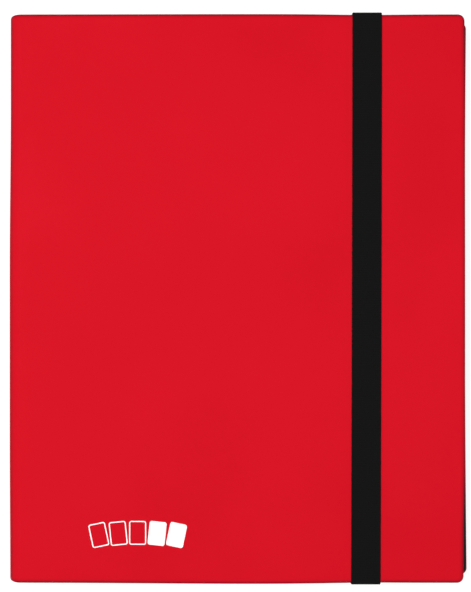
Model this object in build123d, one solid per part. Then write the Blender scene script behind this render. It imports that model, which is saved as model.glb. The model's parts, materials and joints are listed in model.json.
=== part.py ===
from build123d import *
import math
import os

# Trading card binder with 20 side-loading nine-pocket leaves and an elastic closing strap.
# It lies closed on its back cover: +Z up, +Y towards the top of the pages, spine at -X.
# The origin is the centre of its base. All lengths are in millimetres.

os.makedirs("parts", exist_ok=True)

# Cover: one sheet of plastic in three panels, bent round the spine, with a thin lining inside.
cover_height = 319.0
front_width = 255.8
back_overhang = 4.4
closed_thickness = 25.4
sheet_thickness = 1.4
lining_thickness = 0.3
lining_inset = 0.5
corner_radius = 3.75
fold_radius = 7.0
panel_gap = 0.6

# Leaves: a black sheet with three columns of clear pockets on each side.
page_count = 20
page_pitch = 1.1
page_width = 236.0
page_height = 298.0
page_corner_radius = 3.0
page_thickness = 0.2
binding_margin = 20.0
fold_line_reach = 11.0
fold_clearance = 1.5
film_thickness = 0.12
film_gap = 0.1
pocket_columns = 3
pocket_rows = 3
column_pitch = 71.5
row_pitch = 97.0
seam_width = 2.5
slit_width = 0.8

# Binding bar and the page roots welded to it.
glue_gap = 0.05
bar_depth = 5.0
bar_height = 21.2
bar_corner_radius = 4.7
root_clearance = 0.3

# Elastic strap, its ends and the plates that hold them to the back cover.
strap_width = 16.0
strap_thickness = 0.8
strap_reach = 201.2
strap_rest_gap = 0.05
strap_side_gap = 0.1
top_turn_inner_radius = 0.2
tail_turn_inner_radius = 0.8
tail_start = 150.0
band_leg_length = 2.5
leg_gap = 0.05
plate_width = 25.0
plate_length = 7.4
plate_start = 150.4
plate_thickness = 0.7
plate_foot_width = 3.6

# Places worked out from the sizes above.
spine_x = -(front_width + back_overhang) / 2
front_edge_x = spine_x + front_width
back_edge_x = front_edge_x + back_overhang
fold_centre_x = spine_x + fold_radius
rear_fold_centre_z = fold_radius
front_fold_centre_z = closed_thickness - fold_radius
half_height = cover_height / 2
middle_z = closed_thickness / 2
inner_bottom_z = sheet_thickness + lining_thickness
fold_line_x = spine_x + fold_line_reach
bar_x = spine_x + sheet_thickness + lining_thickness + glue_gap
bar_face_x = bar_x + bar_depth
strap_x = spine_x + strap_reach
leg_inner_y = half_height + strap_side_gap
leg_outer_y = leg_inner_y + strap_thickness
span_bottom_z = closed_thickness + strap_rest_gap
top_turn_y = leg_inner_y - top_turn_inner_radius
top_turn_z = span_bottom_z - top_turn_inner_radius
band_end_z = top_turn_z - band_leg_length
tail_bottom_z = inner_bottom_z + strap_rest_gap
tail_turn_y = leg_inner_y - tail_turn_inner_radius
tail_turn_z = tail_bottom_z + strap_thickness + tail_turn_inner_radius


def block(x_low, x_high, y_low, y_high, z_low, z_high):
    """A box between two corners."""
    solid = Box(x_high - x_low, y_high - y_low, z_high - z_low, align=(Align.MIN,) * 3)
    return Pos(x_low, y_low, z_low) * solid


def sheet(x_low, x_high, half_width, z_low, z_high, radius):
    """A flat sheet whose two fore-edge corners are rounded."""
    solid = block(x_low, x_high, -half_width, half_width, z_low, z_high)
    corners = solid.edges().filter_by(Axis.Z).group_by(Axis.X)[-1]
    return fillet(corners, radius)


def quarter_ring(centre_x, centre_z, outer_radius, thickness, start_angle, half_length):
    """A quarter of a tube that runs along Y. The angle turns from +X towards +Z."""
    end_angle = start_angle + 90
    inner_radius = outer_radius - thickness
    outer_arc = CenterArc((0, 0), outer_radius, start_angle, 90)
    inner_arc = CenterArc((0, 0), inner_radius, start_angle, 90)
    first_side = Line(outer_arc @ 0, inner_arc @ 0)
    last_side = Line(outer_arc @ 1, inner_arc @ 1)
    profile = make_face([outer_arc, first_side, inner_arc, last_side])
    solid = extrude(Plane.XZ * profile, amount=half_length, both=True)
    return Pos(centre_x, 0, centre_z) * solid


def mirrored_pair(solid):
    """The solid at the top edge and its mirror image at the bottom edge."""
    return Compound(children=[solid, mirror(solid, about=Plane.XZ)])


# Back and front covers
def back_cover_panel():
    start_x = fold_centre_x + panel_gap
    return sheet(start_x, back_edge_x, half_height, 0, sheet_thickness, corner_radius)


def back_cover_lining():
    start_x = fold_centre_x + panel_gap
    end_x = back_edge_x - lining_inset
    return sheet(start_x, end_x, half_height - lining_inset, sheet_thickness, inner_bottom_z, corner_radius)


def front_cover_panel():
    start_x = fold_centre_x + panel_gap
    bottom_z = closed_thickness - sheet_thickness
    return sheet(start_x, front_edge_x, half_height, bottom_z, closed_thickness, corner_radius)


def front_cover_lining():
    start_x = fold_centre_x + panel_gap
    end_x = front_edge_x - lining_inset
    top_z = closed_thickness - sheet_thickness
    return sheet(start_x, end_x, half_height - lining_inset, top_z - lining_thickness, top_z, corner_radius)


# Spine: a flat wall between two quarter-round folds
def spine_panel():
    end_x = spine_x + sheet_thickness
    return block(spine_x, end_x, -half_height, half_height, rear_fold_centre_z, front_fold_centre_z)


def rear_fold():
    return quarter_ring(fold_centre_x, rear_fold_centre_z, fold_radius, sheet_thickness, 180, half_height)


def front_fold():
    return quarter_ring(fold_centre_x, front_fold_centre_z, fold_radius, sheet_thickness, 90, half_height)


def spine_lining():
    radius = fold_radius - sheet_thickness
    half_length = half_height - lining_inset
    low = quarter_ring(fold_centre_x, rear_fold_centre_z, radius, lining_thickness, 180, half_length)
    high = quarter_ring(fold_centre_x, front_fold_centre_z, radius, lining_thickness, 90, half_length)
    wall_x = spine_x + sheet_thickness
    end_x = wall_x + lining_thickness
    wall = block(wall_x, end_x, -half_length, half_length, rear_fold_centre_z, front_fold_centre_z)
    return low + wall + high


# Binding bar and page roots
def page_binding_bar():
    half = page_height / 2
    low_z = middle_z - bar_height / 2
    bar = block(bar_x, bar_face_x, -half, half, low_z, low_z + bar_height)
    spine_side = bar.edges().filter_by(Axis.Y).group_by(Axis.X)[0]
    return fillet(spine_side, bar_corner_radius)


def page_z(number):
    """Height of the middle of a leaf. Leaf 1 is the top one."""
    return middle_z + ((page_count + 1) / 2 - number) * page_pitch


def page_root(number):
    half = page_height / 2
    low_z = page_z(number) - page_thickness / 2
    end_x = fold_line_x - root_clearance
    return block(bar_face_x, end_x, -half, half, low_z, low_z + page_thickness)


def page_roots():
    return Compound(children=[page_root(number) for number in range(1, page_count + 1)])


# Leaves
def page_sheet(number):
    low_z = page_z(number) - page_thickness / 2
    start_x = fold_line_x + fold_clearance
    end_x = fold_line_x + page_width
    return sheet(start_x, end_x, page_height / 2, low_z, low_z + page_thickness, page_corner_radius)


def pocket_column():
    """One column of pockets, open towards the spine, on a sheet whose surface is at z = 0."""
    width = column_pitch - slit_width
    top_seam_y = pocket_rows * row_pitch / 2
    half = top_seam_y + seam_width / 2
    top_z = film_gap + film_thickness
    film = block(0, width, -half, half, film_gap, top_z)
    side_seam = block(width - seam_width, width, -half, half, 0, film_gap)
    column = film + side_seam
    for row in range(pocket_rows + 1):
        middle_y = top_seam_y - row * row_pitch
        column += block(0, width, middle_y - seam_width / 2, middle_y + seam_width / 2, 0, film_gap)
    return column


def page_pockets(number, column):
    """The pocket columns on both sides of a leaf."""
    lift = page_thickness / 2
    pieces = []
    for index in range(pocket_columns):
        start_x = fold_line_x + binding_margin + index * column_pitch
        above = Pos(start_x, 0, page_z(number) + lift) * column
        below = Pos(start_x, 0, page_z(number) - lift) * mirror(column, about=Plane.XY)
        pieces += [above, below]
    return Compound(children=pieces)


# Strap
def turn(centre_y, centre_z, inner_radius, start_angle):
    """A quarter turn of the strap near the top edge. The angle turns from +Y towards +Z."""
    ring_radius = inner_radius + strap_thickness
    ring = quarter_ring(0, 0, ring_radius, strap_thickness, start_angle, strap_width / 2)
    return Pos(strap_x, centre_y, centre_z) * Rot(0, 0, 90) * ring


def strap_band():
    """The stretch across the front cover, with its turn down past each edge."""
    left_x = strap_x - strap_width / 2
    right_x = strap_x + strap_width / 2
    top_z = span_bottom_z + strap_thickness
    span = block(left_x, right_x, -top_turn_y, top_turn_y, span_bottom_z, top_z)
    end = turn(top_turn_y, top_turn_z, top_turn_inner_radius, 0)
    end += block(left_x, right_x, leg_inner_y, leg_outer_y, band_end_z, top_turn_z)
    return span + end + mirror(end, about=Plane.XZ)


def strap_leg():
    """The upright stretch past the top edge."""
    left_x = strap_x - strap_width / 2
    right_x = strap_x + strap_width / 2
    top_z = band_end_z - leg_gap
    return block(left_x, right_x, leg_inner_y, leg_outer_y, tail_turn_z, top_z)


def strap_tail():
    """The end that lies on the back cover's lining, with its turn up to the edge."""
    left_x = strap_x - strap_width / 2
    right_x = strap_x + strap_width / 2
    tail_top_z = tail_bottom_z + strap_thickness
    flat = block(left_x, right_x, tail_start, tail_turn_y, tail_bottom_z, tail_top_z)
    return flat + turn(tail_turn_y, tail_turn_z, tail_turn_inner_radius, 270)


def strap_end_plate():
    """A bridge over the strap's end, welded to the lining by a foot at each side."""
    left_x = strap_x - plate_width / 2
    right_x = strap_x + plate_width / 2
    end_y = plate_start + plate_length
    bottom_z = tail_bottom_z + strap_thickness + strap_rest_gap
    plate = block(left_x, right_x, plate_start, end_y, bottom_z, bottom_z + plate_thickness)
    left_foot = block(left_x, left_x + plate_foot_width, plate_start, end_y, inner_bottom_z, bottom_z)
    right_foot = block(right_x - plate_foot_width, right_x, plate_start, end_y, inner_bottom_z, bottom_z)
    return plate + left_foot + right_foot


def write(shape, node):
    export_step(shape, f"parts/{node}.step")


write(back_cover_panel(), "back_cover_panel")
write(back_cover_lining(), "back_cover_lining")
write(spine_panel(), "spine_panel")
write(rear_fold(), "rear_fold")
write(front_fold(), "front_fold")
write(spine_lining(), "spine_lining")
write(page_binding_bar(), "page_binding_bar")
write(page_roots(), "page_roots")
write(front_cover_panel(), "front_cover_panel")
write(front_cover_lining(), "front_cover_lining")
write(strap_band(), "strap_band")
write(strap_leg(), "strap_leg_top")
write(mirror(strap_leg(), about=Plane.XZ), "strap_leg_bottom")
write(strap_tail(), "strap_tail_top")
write(mirror(strap_tail(), about=Plane.XZ), "strap_tail_bottom")
write(mirrored_pair(strap_end_plate()), "strap_end_plates")

one_column = pocket_column()
for leaf in range(1, page_count + 1):
    write(page_sheet(leaf), f"page_{leaf:02d}_sheet")
    write(page_pockets(leaf, one_column), f"page_{leaf:02d}_pockets")

# Where the folds turn, for the joints: a fold that opens flat keeps the length of its middle.
bend_radius = fold_radius - sheet_thickness / 2
fold_axis_shift = math.pi / 4 * bend_radius
print("front fold axis x, z:", fold_centre_x - fold_axis_shift, front_fold_centre_z + fold_axis_shift)
print("rear fold axis x, z:", fold_centre_x - fold_axis_shift, rear_fold_centre_z - fold_axis_shift)
print("strap turns about x, z:", strap_x, middle_z)
print("page fold line x:", fold_line_x, "top page z:", page_z(1))
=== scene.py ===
import json
import math
import random

import bmesh
import bpy
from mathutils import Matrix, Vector


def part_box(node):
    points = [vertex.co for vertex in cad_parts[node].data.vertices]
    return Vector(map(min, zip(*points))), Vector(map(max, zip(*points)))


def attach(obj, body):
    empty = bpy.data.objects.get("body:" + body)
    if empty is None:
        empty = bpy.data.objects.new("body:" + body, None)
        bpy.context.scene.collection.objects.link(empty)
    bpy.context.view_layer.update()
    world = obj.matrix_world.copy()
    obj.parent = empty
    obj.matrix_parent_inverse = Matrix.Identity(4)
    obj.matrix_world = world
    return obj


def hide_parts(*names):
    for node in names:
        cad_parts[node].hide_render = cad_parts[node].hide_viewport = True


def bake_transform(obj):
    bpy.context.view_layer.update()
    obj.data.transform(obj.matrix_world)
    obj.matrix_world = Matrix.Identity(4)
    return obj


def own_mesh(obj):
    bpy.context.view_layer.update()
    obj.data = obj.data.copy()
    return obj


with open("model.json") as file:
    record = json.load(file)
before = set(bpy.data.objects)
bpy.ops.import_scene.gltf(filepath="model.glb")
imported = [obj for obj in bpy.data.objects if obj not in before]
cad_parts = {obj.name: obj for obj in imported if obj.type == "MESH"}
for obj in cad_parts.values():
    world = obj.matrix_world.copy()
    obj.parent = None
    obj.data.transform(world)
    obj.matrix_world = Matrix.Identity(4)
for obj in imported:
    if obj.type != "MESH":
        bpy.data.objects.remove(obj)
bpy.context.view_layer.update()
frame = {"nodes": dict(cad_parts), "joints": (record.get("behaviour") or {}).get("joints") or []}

# Sizes, in metres. What the CAD holds is read from it, and the rest is named here.
MM = 0.001
front_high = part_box("front_cover_panel")[1]
back_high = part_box("back_cover_panel")[1]
spine_low, spine_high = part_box("spine_panel")
front_lining_low, front_lining_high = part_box("front_cover_lining")
back_lining_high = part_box("back_cover_lining")[1]
band_low, band_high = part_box("strap_band")
tail_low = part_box("strap_tail_top")[0]
leg_low, leg_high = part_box("strap_leg_top")
bar_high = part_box("page_binding_bar")[1]

SPINE_X = spine_low.x
SHEET = spine_high.x - spine_low.x
LINING = front_lining_high.z - front_lining_low.z
COVER_TOP = front_high.z
MIDDLE_Z = COVER_TOP / 2
HALF_HEIGHT = front_high.y
FOLD_RADIUS = COVER_TOP - spine_high.z
WALL_HALF = MIDDLE_Z - FOLD_RADIUS
FOLD_LENGTH = FOLD_RADIUS * math.pi / 2
CORNER = 3.75 * MM
# The strap stands a little off its CAD place, and is drawn a little wider.
STRAP_SHIFT = 0.5 * MM
STRAP_SPREAD = 0.5 * MM
STRAP_X = (band_low.x + band_high.x) / 2 - STRAP_SHIFT
STRAP_WIDTH = band_high.x - band_low.x + STRAP_SPREAD
STRAP_THICKNESS = leg_high.y - leg_low.y
PAGE_COUNT = sum(1 for name in frame["nodes"] if name.endswith("_sheet"))

# Rims, and painted shade: the red cover's colour is darkened along its rims and on its folds at the spine
RIM_STEPS = 10
COVER_RIM = 1.6 * MM
LINING_RIM = 0.2 * MM
MIN_CORNER = 0.2 * MM
# Name of the point attribute that holds each point's share of painted shade
PAINTED_SHADE_ATTRIBUTE = "painted_shade_share"
EDGE_RUN = 2.7 * MM
EDGE_FADE = 1.6
# Strength, width and place of the painted shade on the spine's fold
CREASE_SHADE = 0.55
CREASE_RUN = 1.2 * MM
CREASE_MIDDLE = WALL_HALF + FOLD_LENGTH * 0.43


# Mesh helpers
SAME_STATION = 0.01 * MM
SAME_POINT = 1e-7
SHARP_ANGLE = 40


def spread(low, high, step):
    """Evenly spaced stations from low to high, at most step apart."""
    count = max(1, math.ceil((high - low) / step - 1e-6))
    return [low + (high - low) * i / count for i in range(count + 1)]


def joined(*runs):
    """Several runs of stations as one sorted list, without repeats."""
    found = []
    for value in sorted(v for run in runs for v in run):
        if not found or value - found[-1] > SAME_STATION:
            found.append(value)
    return found


def smooth(value, low=0.0, high=1.0):
    """0 below low, 1 above high, and a smooth step between."""
    share = min(max((value - low) / (high - low), 0.0), 1.0)
    return share * share * (3 - 2 * share)


def new_piece(name, points, faces, surface, sharp_angle=SHARP_ANGLE, painted_shades=None):
    """A closed mesh with outward faces and smooth shading that breaks at sharp edges."""
    mesh = bpy.data.meshes.new(name)
    mesh.from_pydata([tuple(p) for p in points], [], faces)
    # Shares of painted shade, one for each point, kept as an attribute that the red cover's colour reads
    if painted_shades:
        mesh.attributes.new(PAINTED_SHADE_ATTRIBUTE, "FLOAT", "POINT").data.foreach_set("value", painted_shades)
    shell = bmesh.new()
    shell.from_mesh(mesh)
    bmesh.ops.remove_doubles(shell, verts=shell.verts, dist=SAME_POINT)
    bmesh.ops.recalc_face_normals(shell, faces=shell.faces)
    shell.to_mesh(mesh)
    shell.free()
    mesh.polygons.foreach_set("use_smooth", [True] * len(mesh.polygons))
    mesh.set_sharp_from_angle(angle=math.radians(sharp_angle))
    mesh.materials.append(surface)
    piece = bpy.data.objects.new(name, mesh)
    bpy.context.scene.collection.objects.link(piece)
    return piece


def rounded_point(s, y, outline, inset):
    """A grid point on an outline with two rounded corners at its far end, drawn in by inset."""
    length, half, radius = outline
    corner = max(radius - inset, MIN_CORNER)
    far = length - inset
    side = half - inset
    s_in = s * far / length
    y_in = y * side / half
    along = (s_in - (far - corner)) / corner
    across = (abs(y_in) - (side - corner)) / corner
    if along > 0 and across > 0:
        s_in = far - corner + corner * along * math.sqrt(1 - across * across / 2)
        across_in = corner * across * math.sqrt(1 - along * along / 2)
        y_in = math.copysign(side - corner + across_in, y_in)
    return s_in, y_in


def painted_shade_share(s, y, outline):
    """Share of painted shade along a rim: 1 at the outline's edge, falling to 0 at EDGE_RUN inside it."""
    length, half, radius = outline
    along, across = s - (length - radius), abs(y) - (half - radius)
    inside = min(length - s, half - abs(y))
    if along > 0 and across > 0:
        inside = radius - math.hypot(along, across)
    return min(max(1 - inside / EDGE_RUN, 0.0), 1.0) ** EDGE_FADE


def crease_painted_shade(s):
    """Share of painted shade along the scored fold between the spine's wall and a cover."""
    away = (s - CREASE_MIDDLE) / CREASE_RUN
    return CREASE_SHADE * math.exp(-away * away)


def plate(name, outline, depths, rim, s_list, y_list, place, surface):
    """A sheet with a rounded rim on three sides. place turns (along, across, depth) into a point."""
    rows, columns = len(s_list), len(y_list)
    points, faces, painted_shades = [], [], []

    def add(s, y, inset, depth):
        flat = rounded_point(s, y, outline, inset)
        points.append(place(*flat, depth))
        # Each point carries its share of painted shade, from the rim and from the spine's fold
        painted_shades.append(max(painted_shade_share(*flat, outline), crease_painted_shade(s)))

    starts = []
    for depth in depths:
        starts.append(len(points))
        for s in s_list:
            for y in y_list:
                add(s, y, rim, depth)
    for start in starts:
        for i in range(rows - 1):
            for j in range(columns - 1):
                a = start + i * columns + j
                faces.append((a, a + 1, a + columns + 1, a + columns))
    border = [(i, 0) for i in range(rows)]
    border += [(rows - 1, j) for j in range(1, columns)]
    border += [(i, columns - 1) for i in range(rows - 2, -1, -1)]
    border += [(0, j) for j in range(columns - 2, 0, -1)]
    loops = [[starts[0] + i * columns + j for i, j in border]]
    middle = (depths[0] + depths[1]) / 2
    reach = (depths[1] - depths[0]) / 2
    for step in range(1, RIM_STEPS):
        angle = math.pi * step / RIM_STEPS
        inset = rim * (1 - math.sin(angle))
        depth = middle - reach * math.cos(angle)
        loops.append(list(range(len(points), len(points) + len(border))))
        for i, j in border:
            add(s_list[i], y_list[j], inset, depth)
    loops.append([starts[1] + i * columns + j for i, j in border])
    for upper, lower in zip(loops, loops[1:]):
        for k in range(len(border)):
            following = (k + 1) % len(border)
            faces.append((upper[k], upper[following], lower[following], lower[k]))
    return new_piece(name, points, faces, surface, painted_shades=painted_shades)


# Materials
def material(name):
    """A new node material: (material, nodes, links, its Principled shader)."""
    made = bpy.data.materials.new(name)
    made.use_nodes = True
    tree = made.node_tree
    return made, tree.nodes, tree.links, tree.nodes["Principled BSDF"]


def object_noise(nodes, links, scale, detail, stretch=(1, 1, 1)):
    """Noise in the object's own space, where 1 is a metre. Returns its Fac socket."""
    where = nodes.new("ShaderNodeTexCoord")
    sized = nodes.new("ShaderNodeMapping")
    sized.inputs["Scale"].default_value = stretch
    noise = nodes.new("ShaderNodeTexNoise")
    noise.inputs["Scale"].default_value = scale
    noise.inputs["Detail"].default_value = detail
    links.new(where.outputs["Object"], sized.inputs["Vector"])
    links.new(sized.outputs["Vector"], noise.inputs["Vector"])
    return noise.outputs["Fac"]


def ramp(nodes, links, fac, low, high, start=0.3, end=0.7):
    """A colour that goes from low to high as fac goes from start to end."""
    node = nodes.new("ShaderNodeValToRGB")
    node.color_ramp.elements[0].position = start
    node.color_ramp.elements[0].color = (*low, 1)
    node.color_ramp.elements[1].position = end
    node.color_ramp.elements[1].color = (*high, 1)
    links.new(fac, node.inputs["Fac"])
    return node.outputs["Color"]


def mapped(nodes, links, fac, low, high):
    """fac from 0 to 1 as a number from low to high."""
    node = nodes.new("ShaderNodeMapRange")
    node.inputs["To Min"].default_value = low
    node.inputs["To Max"].default_value = high
    links.new(fac, node.inputs["Value"])
    return node.outputs["Result"]


def bump(nodes, links, shader, height, strength, distance):
    """Adds height to the shader's normal, on top of any bump it already has."""
    node = nodes.new("ShaderNodeBump")
    node.inputs["Strength"].default_value = strength
    node.inputs["Distance"].default_value = distance
    links.new(height, node.inputs["Height"])
    if shader.inputs["Normal"].links:
        links.new(shader.inputs["Normal"].links[0].from_socket, node.inputs["Normal"])
    links.new(node.outputs["Normal"], shader.inputs["Normal"])


def product(nodes, links, first, second):
    """Two colours multiplied together."""
    node = nodes.new("ShaderNodeVectorMath")
    node.operation = "MULTIPLY"
    links.new(first, node.inputs[0])
    links.new(second, node.inputs[1])
    return node.outputs["Vector"]


ROUGHNESS_SPREAD = 0.06


def plastic(name, low, high, roughness, grain, grain_depth, specular, edge=None):
    """Sheet or moulded plastic with a fine grain. edge is painted shade: what its colour is multiplied by
    where the stored shade share is 1, along rims and folds.
    """
    made, nodes, links, shader = material(name)
    broad = object_noise(nodes, links, scale=14, detail=3)
    colour = ramp(nodes, links, broad, low, high)
    # Painted shade: the colour is darkened by the stored share along rims and folds
    if edge:
        share = nodes.new("ShaderNodeAttribute")
        share.attribute_name = PAINTED_SHADE_ATTRIBUTE
        shade = ramp(nodes, links, share.outputs["Fac"], (1, 1, 1), edge, start=0, end=1)
        colour = product(nodes, links, colour, shade)
    links.new(colour, shader.inputs["Base Color"])
    fine = object_noise(nodes, links, scale=grain, detail=4)
    rough = mapped(nodes, links, fine, roughness - ROUGHNESS_SPREAD, roughness + ROUGHNESS_SPREAD)
    links.new(rough, shader.inputs["Roughness"])
    shader.inputs["Specular IOR Level"].default_value = specular
    bump(nodes, links, shader, fine, strength=0.35, distance=grain_depth)
    bump(nodes, links, shader, broad, strength=0.2, distance=0.05 * MM)
    return made


def elastic_material():
    """Woven elastic: cords along its length, crossed by fine picks."""
    made, nodes, links, shader = material("woven_elastic")
    where = nodes.new("ShaderNodeTexCoord")
    waves = []
    for direction, scale in (("Y", 320), ("X", 490)):
        wave = nodes.new("ShaderNodeTexWave")
        wave.bands_direction = direction
        wave.inputs["Scale"].default_value = scale
        wave.inputs["Distortion"].default_value = 0.6
        wave.inputs["Detail"].default_value = 1
        links.new(where.outputs["Object"], wave.inputs["Vector"])
        waves.append(wave.outputs["Fac"])
    fibres = object_noise(nodes, links, scale=5200, detail=2, stretch=(1, 0.25, 1))
    dark, light = (0.0028, 0.0028, 0.0030), (0.0046, 0.0045, 0.0047)
    colour = ramp(nodes, links, waves[0], dark, light, start=0.1, end=0.9)
    links.new(colour, shader.inputs["Base Color"])
    links.new(mapped(nodes, links, fibres, low=0.78, high=0.96), shader.inputs["Roughness"])
    shader.inputs["Specular IOR Level"].default_value = 0.08
    bump(nodes, links, shader, waves[0], strength=0.6, distance=0.05 * MM)
    bump(nodes, links, shader, waves[1], strength=0.3, distance=0.04 * MM)
    bump(nodes, links, shader, fibres, strength=0.4, distance=0.02 * MM)
    return made


def film_material():
    """Clear polypropylene film, faintly hazy and a little uneven."""
    made, nodes, links, shader = material("clear_film")
    haze = object_noise(nodes, links, scale=60, detail=3)
    colour = ramp(nodes, links, haze, low=(0.93, 0.95, 0.96), high=(0.98, 0.99, 1.0))
    links.new(colour, shader.inputs["Base Color"])
    links.new(mapped(nodes, links, haze, low=0.06, high=0.14), shader.inputs["Roughness"])
    shader.inputs["Transmission Weight"].default_value = 1.0
    shader.inputs["IOR"].default_value = 1.4
    bump(nodes, links, shader, haze, strength=0.2, distance=0.03 * MM)
    return made


def weld_material():
    """Film welded down to the sheet: a fine pressed pattern, duller than the film."""
    made, nodes, links, shader = material("welded_film")
    where = nodes.new("ShaderNodeTexCoord")
    wave = nodes.new("ShaderNodeTexWave")
    wave.bands_direction = "DIAGONAL"
    wave.inputs["Scale"].default_value = 420
    links.new(where.outputs["Object"], wave.inputs["Vector"])
    dark, light = (0.045, 0.045, 0.05), (0.13, 0.13, 0.14)
    colour = ramp(nodes, links, wave.outputs["Fac"], dark, light, start=0.2, end=0.8)
    links.new(colour, shader.inputs["Base Color"])
    grain = object_noise(nodes, links, scale=900, detail=2)
    links.new(mapped(nodes, links, grain, low=0.25, high=0.4), shader.inputs["Roughness"])
    bump(nodes, links, shader, wave.outputs["Fac"], strength=0.6, distance=0.05 * MM)
    return made


def print_material():
    """White screen print, a little thin in places."""
    made, nodes, links, shader = material("white_print")
    patch = object_noise(nodes, links, scale=700, detail=3)
    colour = ramp(nodes, links, patch, low=(0.78, 0.75, 0.75), high=(0.9, 0.9, 0.9))
    links.new(colour, shader.inputs["Base Color"])
    links.new(mapped(nodes, links, patch, low=0.45, high=0.6), shader.inputs["Roughness"])
    shader.inputs["Specular IOR Level"].default_value = 0.2
    bump(nodes, links, shader, patch, strength=0.2, distance=0.01 * MM)
    return made


RED = plastic(
    "red_polypropylene",
    (0.505, 0.0022, 0.0100),
    (0.530, 0.0030, 0.0118),
    roughness=0.66,
    grain=2600,
    grain_depth=0.012 * MM,
    specular=0.05,
    # Painted shade on the rims and folds: darker and less red there
    edge=(0.38, 0.6, 0.8),
)
LINING_BLACK = plastic(
    "black_lining",
    (0.006, 0.006, 0.0065),
    (0.009, 0.009, 0.0095),
    roughness=0.6,
    grain=1500,
    grain_depth=0.02 * MM,
    specular=0.15,
)
BAR_BLACK = plastic(
    "black_moulding",
    (0.012, 0.012, 0.013),
    (0.018, 0.018, 0.019),
    roughness=0.45,
    grain=1200,
    grain_depth=0.02 * MM,
    specular=0.35,
)
PAGE_BLACK = plastic(
    "black_page_sheet",
    (0.009, 0.009, 0.010),
    (0.013, 0.013, 0.014),
    roughness=0.38,
    grain=3000,
    grain_depth=0.008 * MM,
    specular=0.4,
)
ELASTIC = elastic_material()
FILM = film_material()
WELD = weld_material()
PRINT = print_material()


# Cover shape
RISE = 0.7 * MM
RISE_START = SPINE_X + 4 * MM
RISE_RUN = 10 * MM
RISE_LOSS = 0.5
CROWN = 0.5 * MM
CROWN_START = SPINE_X + 20 * MM
CROWN_END = SPINE_X + 130 * MM
PRESS = 0.38 * MM
PRESS_START = 146 * MM
PRESS_WIDTH = 22 * MM
SPINE_BOW = 0.45 * MM
SPINE_BOW_END = SPINE_X + 25 * MM
SPINE_TUCK = 0.62 * MM
SPINE_FOOT_TUCK = 0.3 * MM
PINCH = 0.8 * MM
PINCH_RUN = 5.5 * MM
PINCH_REACH = 10 * MM
FRONT_EDGE_X = front_high.x + 0.2 * MM
FRONT_EDGE_BOW = 0.25 * MM
FRONT_EDGE_TUCK = 0.55 * MM
END_BOW = 0.35 * MM
END_BOW_SKEW = 0.2 * MM
END_BOW_X = 8 * MM
END_BOW_RUN = 122 * MM
END_BOW_SHORT_RUN = 0.65 * END_BOW_RUN
UPPER_NIP = 0.25 * MM
LOWER_NIP = 0.07 * MM
BACK_HOLLOW = 0.25 * MM
BACK_SKEW = 0.2 * MM
BACK_FLARE = 0.8 * MM
# Where each starts and is complete, as shares of the half height
SPINE_TUCK_SPAN = (0.1, 0.7)
SPINE_FOOT_SPAN = (0.5, 1)
FRONT_TUCK_SPAN = (0.55, 0.85)
NIP_SPAN = (0.9, 1)


def near_strap(x):
    """1 under the strap's middle, fading to 0 on both sides."""
    return math.exp(-(((x - STRAP_X) / PRESS_WIDTH) ** 2))


def front_relief(x, y):
    """How far the front cover stands above its flat place: it swells, and the strap presses its ends."""
    out = y / HALF_HEIGHT
    away = max(0.0, x - RISE_START) / RISE_RUN
    swell = RISE * (1 - math.exp(-away)) * (1 - RISE_LOSS * out**4)
    crown = CROWN * smooth(x, CROWN_START, CROWN_END) * (1 - out**2)
    edge = max(0.0, (abs(y) - PRESS_START) / (HALF_HEIGHT - PRESS_START)) ** 2
    return swell + crown - PRESS * edge * near_strap(x)


def spine_shift(x, y):
    """The spine bows outward, and is drawn in at its upper end more than at its lower one."""
    out = y / HALF_HEIGHT
    upper = SPINE_TUCK * smooth(out, *SPINE_TUCK_SPAN)
    lower = SPINE_FOOT_TUCK * smooth(-out, *SPINE_FOOT_SPAN)
    return -(SPINE_BOW - upper - lower) * (1 - smooth(x, SPINE_X, SPINE_BOW_END))


def pinched(x, y):
    """y, drawn in a little where the fold meets an end of the cover."""
    near = max(0.0, 1 - (x - SPINE_X) / PINCH_RUN) ** 2
    end = smooth(abs(y), HALF_HEIGHT - PINCH_REACH, HALF_HEIGHT)
    return y - math.copysign(PINCH * near * end, y)


def front_shift(x, y):
    """The front cover's fore-edge draws in towards its corners, most at the lower one."""
    out = y / HALF_HEIGHT
    tuck = FRONT_EDGE_TUCK * smooth(-out, *FRONT_TUCK_SPAN)
    return -(FRONT_EDGE_BOW * out * out + tuck) * smooth(x, 0, front_high.x)


def front_end_shift(x, y):
    """The front cover's ends are bowed, the lower one more, and drawn in a little under the strap."""
    run = END_BOW_RUN if x < END_BOW_X else END_BOW_SHORT_RUN
    near = math.cos(math.pi / 2 * min(1.0, abs(x - END_BOW_X) / run)) ** 2
    out = y / HALF_HEIGHT
    pull = UPPER_NIP * smooth(out, *NIP_SPAN) - LOWER_NIP * smooth(-out, *NIP_SPAN)
    return (END_BOW - END_BOW_SKEW * out) * out**3 * near - pull * near_strap(x)


def back_shift(x, y):
    """The back cover's fore-edge is a little hollow, and runs out towards its corners."""
    out = y / HALF_HEIGHT
    return (-BACK_HOLLOW - BACK_SKEW * out + BACK_FLARE * out * out) * smooth(x, 0, back_high.x)


def wrapped(s, depth):
    """The cover's section: (x, height above the spine's middle) at s along its outer face."""
    if s < WALL_HALF:
        return SPINE_X + depth, s
    if s < WALL_HALF + FOLD_LENGTH:
        angle = (s - WALL_HALF) / FOLD_RADIUS
        radius = FOLD_RADIUS - depth
        return SPINE_X + FOLD_RADIUS - radius * math.cos(angle), WALL_HALF + radius * math.sin(angle)
    return SPINE_X + FOLD_RADIUS + s - WALL_HALF - FOLD_LENGTH, MIDDLE_Z - depth


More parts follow.
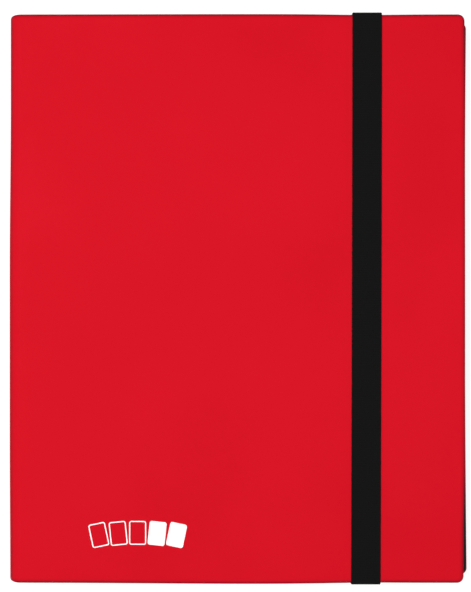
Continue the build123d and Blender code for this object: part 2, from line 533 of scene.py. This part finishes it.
def front_place(s, y, depth):
    """A point of the front half of the wrap: s from the spine's middle, depth below the outer face."""
    x, height = wrapped(s, depth)
    across = pinched(x, y) + front_end_shift(x, y)
    return x + spine_shift(x, y) + front_shift(x, y), across, MIDDLE_Z + height + front_relief(x, y)


def back_place(s, y, depth):
    """The same for the back half."""
    x, height = wrapped(s, depth)
    return x + spine_shift(x, y) + back_shift(x, y), pinched(x, y), MIDDLE_Z - height


FINE_STEP = 0.5 * MM
WALL_STEP = 2 * MM
STRAP_ZONE_STEP = 3 * MM
FORE_EDGE_STEP = 5 * MM
BROAD_STEP = 6 * MM
STRAP_ZONE = 30 * MM
END_ZONE = 20 * MM


def run_length(edge_x):
    """Length of a cover's outer face from the spine's middle to its fore-edge."""
    return WALL_HALF + FOLD_LENGTH + edge_x - SPINE_X - FOLD_RADIUS


def cover_stations(length, half):
    """Stations along and across a cover, close together at the fold, the strap and the edges."""
    bend_end = WALL_HALF + FOLD_LENGTH
    strap_s = run_length(STRAP_X)
    along = joined(
        spread(0, WALL_HALF, WALL_STEP),
        spread(WALL_HALF, bend_end, FINE_STEP),
        spread(bend_end, strap_s - STRAP_ZONE, BROAD_STEP),
        spread(strap_s - STRAP_ZONE, strap_s + STRAP_ZONE, STRAP_ZONE_STEP),
        spread(strap_s + STRAP_ZONE, length - CORNER, FORE_EDGE_STEP),
        spread(length - CORNER, length, FINE_STEP),
    )
    across = joined(
        spread(-half, CORNER - half, FINE_STEP),
        spread(CORNER - half, END_ZONE - half, WALL_STEP),
        spread(END_ZONE - half, half - END_ZONE, BROAD_STEP),
        spread(half - END_ZONE, half - CORNER, WALL_STEP),
        spread(half - CORNER, half, FINE_STEP),
    )
    return along, across


def cover_skin(name, edge_x, inset, depths, rim, place, surface):
    """One half of the wrap-round cover or lining, from the spine's middle to a fore-edge."""
    length = run_length(edge_x)
    half = HALF_HEIGHT - inset
    along, across = cover_stations(length, half)
    return plate(name, (length, half, CORNER), depths, rim, along, across, place, surface)


LINING_DEPTHS = (SHEET, SHEET + LINING)
LINING_INSET = HALF_HEIGHT - front_lining_high.y

front_skin = cover_skin("front_cover_skin", FRONT_EDGE_X, 0, (0, SHEET), COVER_RIM, front_place, RED)
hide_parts("front_cover_panel", "front_fold", "spine_panel")
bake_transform(front_skin)

back_skin = cover_skin("back_cover_skin", back_high.x, 0, (0, SHEET), COVER_RIM, back_place, RED)
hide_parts("back_cover_panel", "rear_fold")
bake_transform(back_skin)

front_lining = cover_skin(
    "front_lining",
    FRONT_EDGE_X - LINING_INSET,
    LINING_INSET,
    LINING_DEPTHS,
    LINING_RIM,
    front_place,
    LINING_BLACK,
)
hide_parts("front_cover_lining", "spine_lining")
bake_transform(front_lining)

back_lining = cover_skin(
    "back_lining", back_lining_high.x, LINING_INSET, LINING_DEPTHS, LINING_RIM, back_place, LINING_BLACK
)
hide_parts("back_cover_lining")
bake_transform(back_lining)


# Strap
RIBS = 16
POINTS_PER_RIB = 6
RIB_DEPTH = 0.07 * MM
SELVEDGE = 0.5 * MM
SELVEDGE_SHARE = 0.35
STRAP_SHARP_ANGLE = 60
STRAP_STEP = 8 * MM
STRAP_END_STEP = 1.5 * MM
STRAP_LEG_STEP = 2 * MM
TURN_STEPS = 8
UPPER_BULGE = 0.15 * MM
STRAP_LEAN = 0.4 * MM
TURN_INNER = 0.2 * MM
REST_GAP = band_high.z - STRAP_THICKNESS - COVER_TOP
TAIL_MIDDLE = tail_low.z + STRAP_THICKNESS / 2
# Folded back, the front run's short legs end just below the middle of the strap's flat ends.
BAND_END_GAP = 0.1 * MM
BAND_END_Z = COVER_TOP - TAIL_MIDDLE + BAND_END_GAP


def strap_section():
    """Outline of the elastic's section as (across, height), ribbed on both faces and thin at its edges."""
    count = RIBS * POINTS_PER_RIB
    upper, lower = [], []
    for i in range(count + 1):
        across = (i / count - 0.5) * STRAP_WIDTH
        rib = abs(math.sin(math.pi * i / POINTS_PER_RIB)) * RIB_DEPTH
        closing = smooth(STRAP_WIDTH / 2 - abs(across), 0, SELVEDGE)
        full = SELVEDGE_SHARE + (1 - SELVEDGE_SHARE) * closing
        half_thickness = STRAP_THICKNESS / 2 * full - RIB_DEPTH
        upper.append((across, STRAP_THICKNESS / 2 + half_thickness + rib * closing))
        lower.append((across, STRAP_THICKNESS / 2 - half_thickness - rib * closing))
    return upper + lower[::-1]


def strap_run(name, route):
    """Sweeps the elastic's section along a route of (y, z, outward y, outward z, sideways)."""
    section = strap_section()
    points, faces = [], []
    for y, z, out_y, out_z, lean in route:
        for across, height in section:
            points.append((STRAP_X + lean + across, y + out_y * height, z + out_z * height))
    size = len(section)
    for i in range(len(route) - 1):
        for j in range(size):
            a, b = i * size + j, i * size + (j + 1) % size
            faces.append((a, b, b + size, a + size))
    columns = size // 2
    for start in (0, (len(route) - 1) * size):
        for j in range(columns - 1):
            faces.append((start + j, start + j + 1, start + size - 2 - j, start + size - 1 - j))
    return new_piece(name, points, faces, ELASTIC, STRAP_SHARP_ANGLE)


def strap_height(y):
    """Height of the strap's lower face over the front cover."""
    return COVER_TOP + REST_GAP + front_relief(STRAP_X, y)


def lean_at(y):
    """The strap stands a little askew."""
    return STRAP_LEAN * y / HALF_HEIGHT


def turn_route(centre_y, centre_z, inner, side, first, last):
    """A turn round a centre: first and last are angles in degrees from straight up, towards the edge."""
    lean = lean_at(side * HALF_HEIGHT)
    route = []
    for i in range(TURN_STEPS + 1):
        angle = math.radians(first + (last - first) * i / TURN_STEPS)
        out_y, out_z = side * math.sin(angle), math.cos(angle)
        route.append((centre_y + out_y * inner, centre_z + out_z * inner, out_y, out_z, lean))
    return route


def band_end(side, bulge):
    """The strap's turn over an end of the cover, moved out by bulge, and the short leg below it."""
    turn_y = leg_low.y - TURN_INNER + bulge
    turn_z = strap_height(side * turn_y) - TURN_INNER
    turn = turn_route(side * turn_y, turn_z, TURN_INNER, side, 0, 90)
    return turn + [(side * leg_low.y, BAND_END_Z, side, 0, lean_at(side * HALF_HEIGHT))]


def band_route():
    """Up one short leg, over the front cover and down the other."""
    reach = leg_low.y - TURN_INNER
    middle = joined(
        spread(-reach, -PRESS_START, STRAP_END_STEP),
        spread(-PRESS_START, PRESS_START, STRAP_STEP),
        spread(PRESS_START, reach, STRAP_END_STEP),
    )[1:-1]
    span = [(y, strap_height(y), 0, 1, lean_at(y)) for y in middle]
    return band_end(-1, 0)[::-1] + span + band_end(1, UPPER_BULGE)


band = strap_run("strap_front_run", band_route())
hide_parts("strap_band")
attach(band, "strap")

TAIL_TOP = tail_low.z + STRAP_THICKNESS
TAIL_TURN_INNER = leg_low.z - TAIL_TOP
for side, end in ((1, "top"), (-1, "bottom")):
    lean = lean_at(side * HALF_HEIGHT)
    turn_y = side * (leg_low.y - TAIL_TURN_INNER)
    side_route = turn_route(turn_y, leg_low.z, TAIL_TURN_INNER, side, 180, 90)
    leg_heights = spread(leg_low.z, BAND_END_Z, STRAP_LEG_STEP)[1:]
    side_route += [(side * leg_low.y, z, side, 0, lean) for z in leg_heights]
    strap_side = strap_run(f"strap_side_{end}", side_route)
    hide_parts(f"strap_leg_{end}")
    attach(strap_side, "back_cover")
    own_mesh(strap_side)
    end_route = [(y, TAIL_TOP, 0, -1, lean) for y in (side * tail_low.y, turn_y)]
    strap_end = strap_run(f"strap_end_{end}", end_route)
    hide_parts(f"strap_tail_{end}")
    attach(strap_end, "back_cover")


# Leaves
SHEET_CORNER = 3 * MM
SHEET_RIM = 0.1 * MM
BAR_FACE = bar_high.x
FOLD_LINE = next(j for j in frame["joints"] if j["name"] == "page_01_turn")["pos_m"][0]
MARGIN_BEND = 2 * (FOLD_LINE - BAR_FACE)
BEND_STEP = 0.6 * MM
SHEET_STEP = 24 * MM
SHEET_CORNER_STEP = 0.75 * MM
POCKET_COLUMNS = 3
POCKET_ROWS = 3
SEAM = 2.5 * MM
SLIT = 0.8 * MM
FILM_THICKNESS = 0.12 * MM
FILM_LIFT = 0.03 * MM
LOW_PUFF = 0.05 * MM
HIGH_PUFF = 0.12 * MM
PUFF_SEED = 7
FILM_SHARP_ANGLE = 50
film_low, film_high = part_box("page_01_pockets")
COLUMN_PITCH = (film_high.x - film_low.x + SLIT) / POCKET_COLUMNS
ROW_PITCH = (film_high.y - film_low.y - SEAM) / POCKET_ROWS
# The thumb notch: its depth, and its half width and its run inward as shares of a pocket
NOTCH = 5 * MM
NOTCH_REACH = 0.12
NOTCH_RUN = 0.2
NOTCH_STEPS = 4
NOTCH_STATIONS = [0.5 + NOTCH_REACH * i / NOTCH_STEPS for i in range(-NOTCH_STEPS, NOTCH_STEPS + 1)]
# Stations over a pocket, as shares of it from its open edge inward and from its lower seam up
INWARD_SHARES = (0, 0.02, 0.06, 0.14, 0.3, 0.5, 0.7, 0.86, 0.94, 1)
UPWARD_SHARES = (0, 0.04, 0.1, 0.22, *NOTCH_STATIONS, 0.78, 0.9, 0.96)


def leaf_sheet(number):
    """A leaf's black sheet, from the bar to its outer edge, with close stations along its root."""
    low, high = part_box(f"page_{number:02d}_sheet")
    middle = (low.z + high.z) / 2
    thickness = high.z - low.z
    length = high.x - BAR_FACE
    half = high.y
    along = joined(
        spread(0, MARGIN_BEND, BEND_STEP),
        spread(MARGIN_BEND, length - SHEET_CORNER, SHEET_STEP),
        spread(length - SHEET_CORNER, length, SHEET_CORNER_STEP),
    )
    across = joined(
        spread(-half, SHEET_CORNER - half, SHEET_CORNER_STEP),
        spread(SHEET_CORNER - half, half - SHEET_CORNER, SHEET_STEP),
        spread(half - SHEET_CORNER, half, SHEET_CORNER_STEP),
    )

    def place(s, y, depth):
        return BAR_FACE + s, y, middle + thickness / 2 - depth

    name = f"leaf_{number:02d}_sheet"
    outline = (length, half, SHEET_CORNER)
    sheet = plate(name, outline, (0, thickness), SHEET_RIM, along, across, place, PAGE_BLACK)
    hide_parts(f"page_{number:02d}_sheet")
    root, bent = (BAR_FACE, 0, middle), (BAR_FACE + MARGIN_BEND, 0, middle)
    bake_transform(sheet)
    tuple(root)
    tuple(bent)
    return sheet


def pocket_rise(u, v, puff):
    """How far the film stands off the sheet inside a pocket, from 0 to 1 across it each way."""
    side = 1 - u**6
    ends = 1 - abs(2 * v - 1) ** 6
    return FILM_LIFT + puff * side * ends


def notch_depth(u, v):
    """How far a pocket's open edge is cut back for a thumb, in the middle of its row."""
    across = min(1.0, abs(v - 0.5) / NOTCH_REACH)
    return NOTCH * max(0.0, 1 - u / NOTCH_RUN) * math.cos(math.pi / 2 * across) ** 2


def film_column(column, lift, direction, puffs):
    """Points, faces and weld faces of one column of film. direction is 1 above the sheet and -1 below."""
    start_x = film_low.x + column * COLUMN_PITCH
    width = COLUMN_PITCH - SLIT
    pocket_width = width - SEAM
    x_stations = [(u * pocket_width, u) for u in INWARD_SHARES] + [(width, None)]
    y_stations = []
    for row in range(POCKET_ROWS):
        base = film_low.y + row * ROW_PITCH
        y_stations.append((base, None, row))
        for v in UPWARD_SHARES:
            y_stations.append((base + SEAM + (ROW_PITCH - SEAM) * v, v, row))
    y_stations += [(film_high.y - SEAM, None, 0), (film_high.y, None, 0)]
    points, faces, welds = [], [], []
    for layer in (0, FILM_THICKNESS):
        for dx, u in x_stations:
            for y, v, row in y_stations:
                rise, notch = FILM_LIFT, 0.0
                if u is not None and v is not None:
                    rise = pocket_rise(u, v, puffs[row])
                    notch = notch_depth(u, v)
                points.append((start_x + dx + notch, y, lift + direction * (rise + layer)))
    rows, columns = len(x_stations), len(y_stations)
    half = rows * columns
    for i in range(rows - 1):
        for j in range(columns - 1):
            a = i * columns + j
            welded = x_stations[i + 1][1] is None or y_stations[j][1] is None
            for start in (0, half):
                faces.append((start + a, start + a + 1, start + a + columns + 1, start + a + columns))
                welds.append(welded)
    border = [i * columns for i in range(rows)]
    border += [(rows - 1) * columns + j for j in range(1, columns)]
    border += [i * columns + columns - 1 for i in range(rows - 2, -1, -1)]
    border += list(range(columns - 2, 0, -1))
    for k, a in enumerate(border):
        b = border[(k + 1) % len(border)]
        faces.append((a, b, b + half, a + half))
        welds.append(False)
    return points, faces, welds


def leaf_film(number, rng):
    """The pocket film on both sides of a leaf, with its welded seams."""
    low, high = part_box(f"page_{number:02d}_sheet")
    points, faces, welds = [], [], []
    for column in range(POCKET_COLUMNS):
        for lift, direction in ((high.z, 1), (low.z, -1)):
            puffs = [rng.uniform(LOW_PUFF, HIGH_PUFF) for row in range(POCKET_ROWS)]
            more_points, more_faces, more_welds = film_column(column, lift, direction, puffs)
            offset = len(points)
            points += more_points
            faces += [tuple(v + offset for v in face) for face in more_faces]
            welds += more_welds
    film = new_piece(f"leaf_{number:02d}_film", points, faces, FILM, FILM_SHARP_ANGLE)
    film.data.materials.append(WELD)
    film.data.polygons.foreach_set("material_index", [int(w) for w in welds])
    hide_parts(f"page_{number:02d}_pockets")
    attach(film, f"page_{number:02d}")


rng = random.Random(PUFF_SEED)
for number in range(1, PAGE_COUNT + 1):
    sheet = leaf_sheet(number)
    if number == 1:
        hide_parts("page_roots")
    leaf_film(number, rng)


# CAD nodes that keep their shape
def repaint(node, surface):
    """Gives a CAD node a better material."""
    target = frame["nodes"][node]
    target.data.materials.clear()
    target.data.materials.append(surface)


repaint("page_binding_bar", BAR_BLACK)
repaint("strap_end_plates", BAR_BLACK)


# Printed mark: a row of blank cards dealt out sideways
MARK_LEFT = SPINE_X + 44.6 * MM
MARK_BASE = -138 * MM
CARD_WIDTH = 9.6 * MM
CARD_HEIGHT = 13.4 * MM
CARD_STEP = 10.9 * MM
CARD_COUNT = 5
SOLID_CARDS = 2
CARD_SLANT = 12
CARD_INDENT = 1.2 * MM
CARD_DROP = 1.2 * MM
CARD_LINE = 0.65 * MM
CARD_CORNER = 1.3 * MM
CARD_INNER_CORNER = 0.2 * MM
CORNER_STEPS = 6
PRINT_SHARP_ANGLE = 30
PRINT_LIFT = 0.02 * MM
PRINT_DEPTH = 0.02 * MM


def card_outline(inset):
    """Points of a rounded card centred on the origin, drawn in by inset."""
    half_x, half_y = CARD_WIDTH / 2 - inset, CARD_HEIGHT / 2 - inset
    radius = max(CARD_CORNER - inset, CARD_INNER_CORNER)
    outline = []
    for corner, (sign_x, sign_y) in enumerate(((1, 1), (-1, 1), (-1, -1), (1, -1))):
        for i in range(CORNER_STEPS + 1):
            angle = math.radians(90 * (corner + i / CORNER_STEPS))
            x = sign_x * (half_x - radius) + radius * math.cos(angle)
            y = sign_y * (half_y - radius) + radius * math.sin(angle)
            outline.append((x, y))
    return outline


def add_card(centre_x, centre_y, turn, solid, points, faces):
    """Adds a card's outline, or the whole card where it is solid, printed on the front cover."""
    outlines = [card_outline(0)] if solid else [card_outline(0), card_outline(CARD_LINE)]
    start, size = len(points), len(outlines[0])
    cos, sin = math.cos(turn), math.sin(turn)
    for lift in (PRINT_LIFT + PRINT_DEPTH, PRINT_LIFT):
        for outline in outlines:
            for x, y in outline:
                px, py = centre_x + x * cos - y * sin, centre_y + x * sin + y * cos
                points.append((px, py, COVER_TOP + front_relief(px, py) + lift))
    rings = [[start + ring * size + k for k in range(size)] for ring in range(2 * len(outlines))]
    if solid:
        faces += [tuple(ring) for ring in rings]
        walls = [(rings[0], rings[1])]
    else:
        top, top_in, low, low_in = rings
        walls = [(top, top_in), (top_in, low_in), (low_in, low), (low, top)]
    for first, second in walls:
        for k in range(size):
            after = (k + 1) % size
            faces.append((first[k], first[after], second[after], second[k]))


def printed_mark():
    """The row of cards, each turned a little more than the last, with the middle one the highest."""
    points, faces = [], []
    for index in range(CARD_COUNT):
        share = index / (CARD_COUNT - 1)
        turn = math.radians(CARD_SLANT * (1 - 2 * share))
        centre_x = MARK_LEFT + CARD_WIDTH / 2 + CARD_INDENT + index * CARD_STEP
        centre_y = MARK_BASE + CARD_HEIGHT / 2 - CARD_DROP * (2 * share - 1) ** 2
        add_card(centre_x, centre_y, turn, index >= CARD_COUNT - SOLID_CARDS, points, faces)
    mark = new_piece("printed_mark", points, faces, PRINT, PRINT_SHARP_ANGLE)
    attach(mark, "front_cover")


printed_mark()


# Floor, light and camera
FLOOR_REACH = 30.0
FLOOR_LEVEL = -0.05 * MM
FLOOR_GLOW = 0.76
KEY_LIGHT = {"place": (-0.45, 0.08, 1.15), "size": 0.75, "power": 12.4}
FILL_LIGHT = {"place": (0.65, 0.0, 1.15), "size": 0.7, "power": 4.8}
HORIZON = (0.9, 0.9, 0.9)
SKY = (0.4, 0.4, 0.4)


def floor():
    """A wide pale floor just under the binder, bright enough of itself to run into the horizon."""
    surface, _, _, shader = material("pale_floor")
    shader.inputs["Base Color"].default_value = (0.3, 0.3, 0.3, 1)
    shader.inputs["Roughness"].default_value = 0.9
    shader.inputs["Specular IOR Level"].default_value = 0.1
    shader.inputs["Emission Color"].default_value = (1, 1, 1, 1)
    shader.inputs["Emission Strength"].default_value = FLOOR_GLOW
    mesh = bpy.data.meshes.new("floor")
    signs = ((-1, -1), (1, -1), (1, 1), (-1, 1))
    corners = [(x * FLOOR_REACH, y * FLOOR_REACH, FLOOR_LEVEL) for x, y in signs]
    mesh.from_pydata(corners, [], [(0, 1, 2, 3)])
    mesh.materials.append(surface)
    plane = bpy.data.objects.new("floor", mesh)
    bpy.context.scene.collection.objects.link(plane)


def area_light(name, place, size, power):
    """A square soft light aimed at the object."""
    data = bpy.data.lights.new(name, "AREA")
    data.shape = "SQUARE"
    data.size = size
    data.energy = power
    lamp = bpy.data.objects.new(name, data)
    lamp.location = place
    lamp.rotation_euler = (-Vector(place)).to_track_quat("-Z", "Y").to_euler()
    bpy.context.scene.collection.objects.link(lamp)


def studio():
    """A dim room with a pale horizon, a large soft light above on the left and a weaker one on the right."""
    world = bpy.data.worlds.new("studio")
    world.use_nodes = True
    nodes, links = world.node_tree.nodes, world.node_tree.links
    where = nodes.new("ShaderNodeTexCoord")
    split = nodes.new("ShaderNodeSeparateXYZ")
    links.new(where.outputs["Generated"], split.inputs["Vector"])
    colour = ramp(nodes, links, split.outputs["Z"], HORIZON, SKY, start=0.06, end=0.3)
    links.new(colour, nodes["Background"].inputs["Color"])
    bpy.context.scene.world = world
    area_light("key_light", **KEY_LIGHT)
    area_light("fill_light", **FILL_LIGHT)
    bpy.context.scene.view_settings.view_transform = "Standard"
    bpy.context.scene.view_settings.look = "None"


SENSOR = 36
VIEW_DISTANCE = 790 * MM
VIEW_HEIGHT = 332.1 * MM
VIEW_FROM_SPINE = 127.25 * MM
VIEW_ABOVE_MIDDLE = 1.46 * MM


def camera():
    """Looks straight down on the front cover."""
    data = bpy.data.cameras.new("camera")
    data.sensor_width = SENSOR
    data.lens = data.sensor_width * VIEW_DISTANCE / VIEW_HEIGHT
    data.dof.use_dof = False
    eye = bpy.data.objects.new("camera", data)
    eye.location = (SPINE_X + VIEW_FROM_SPINE, VIEW_ABOVE_MIDDLE, COVER_TOP + VIEW_DISTANCE)
    bpy.context.scene.collection.objects.link(eye)
    bpy.context.scene.camera = eye


floor()
studio()
camera()
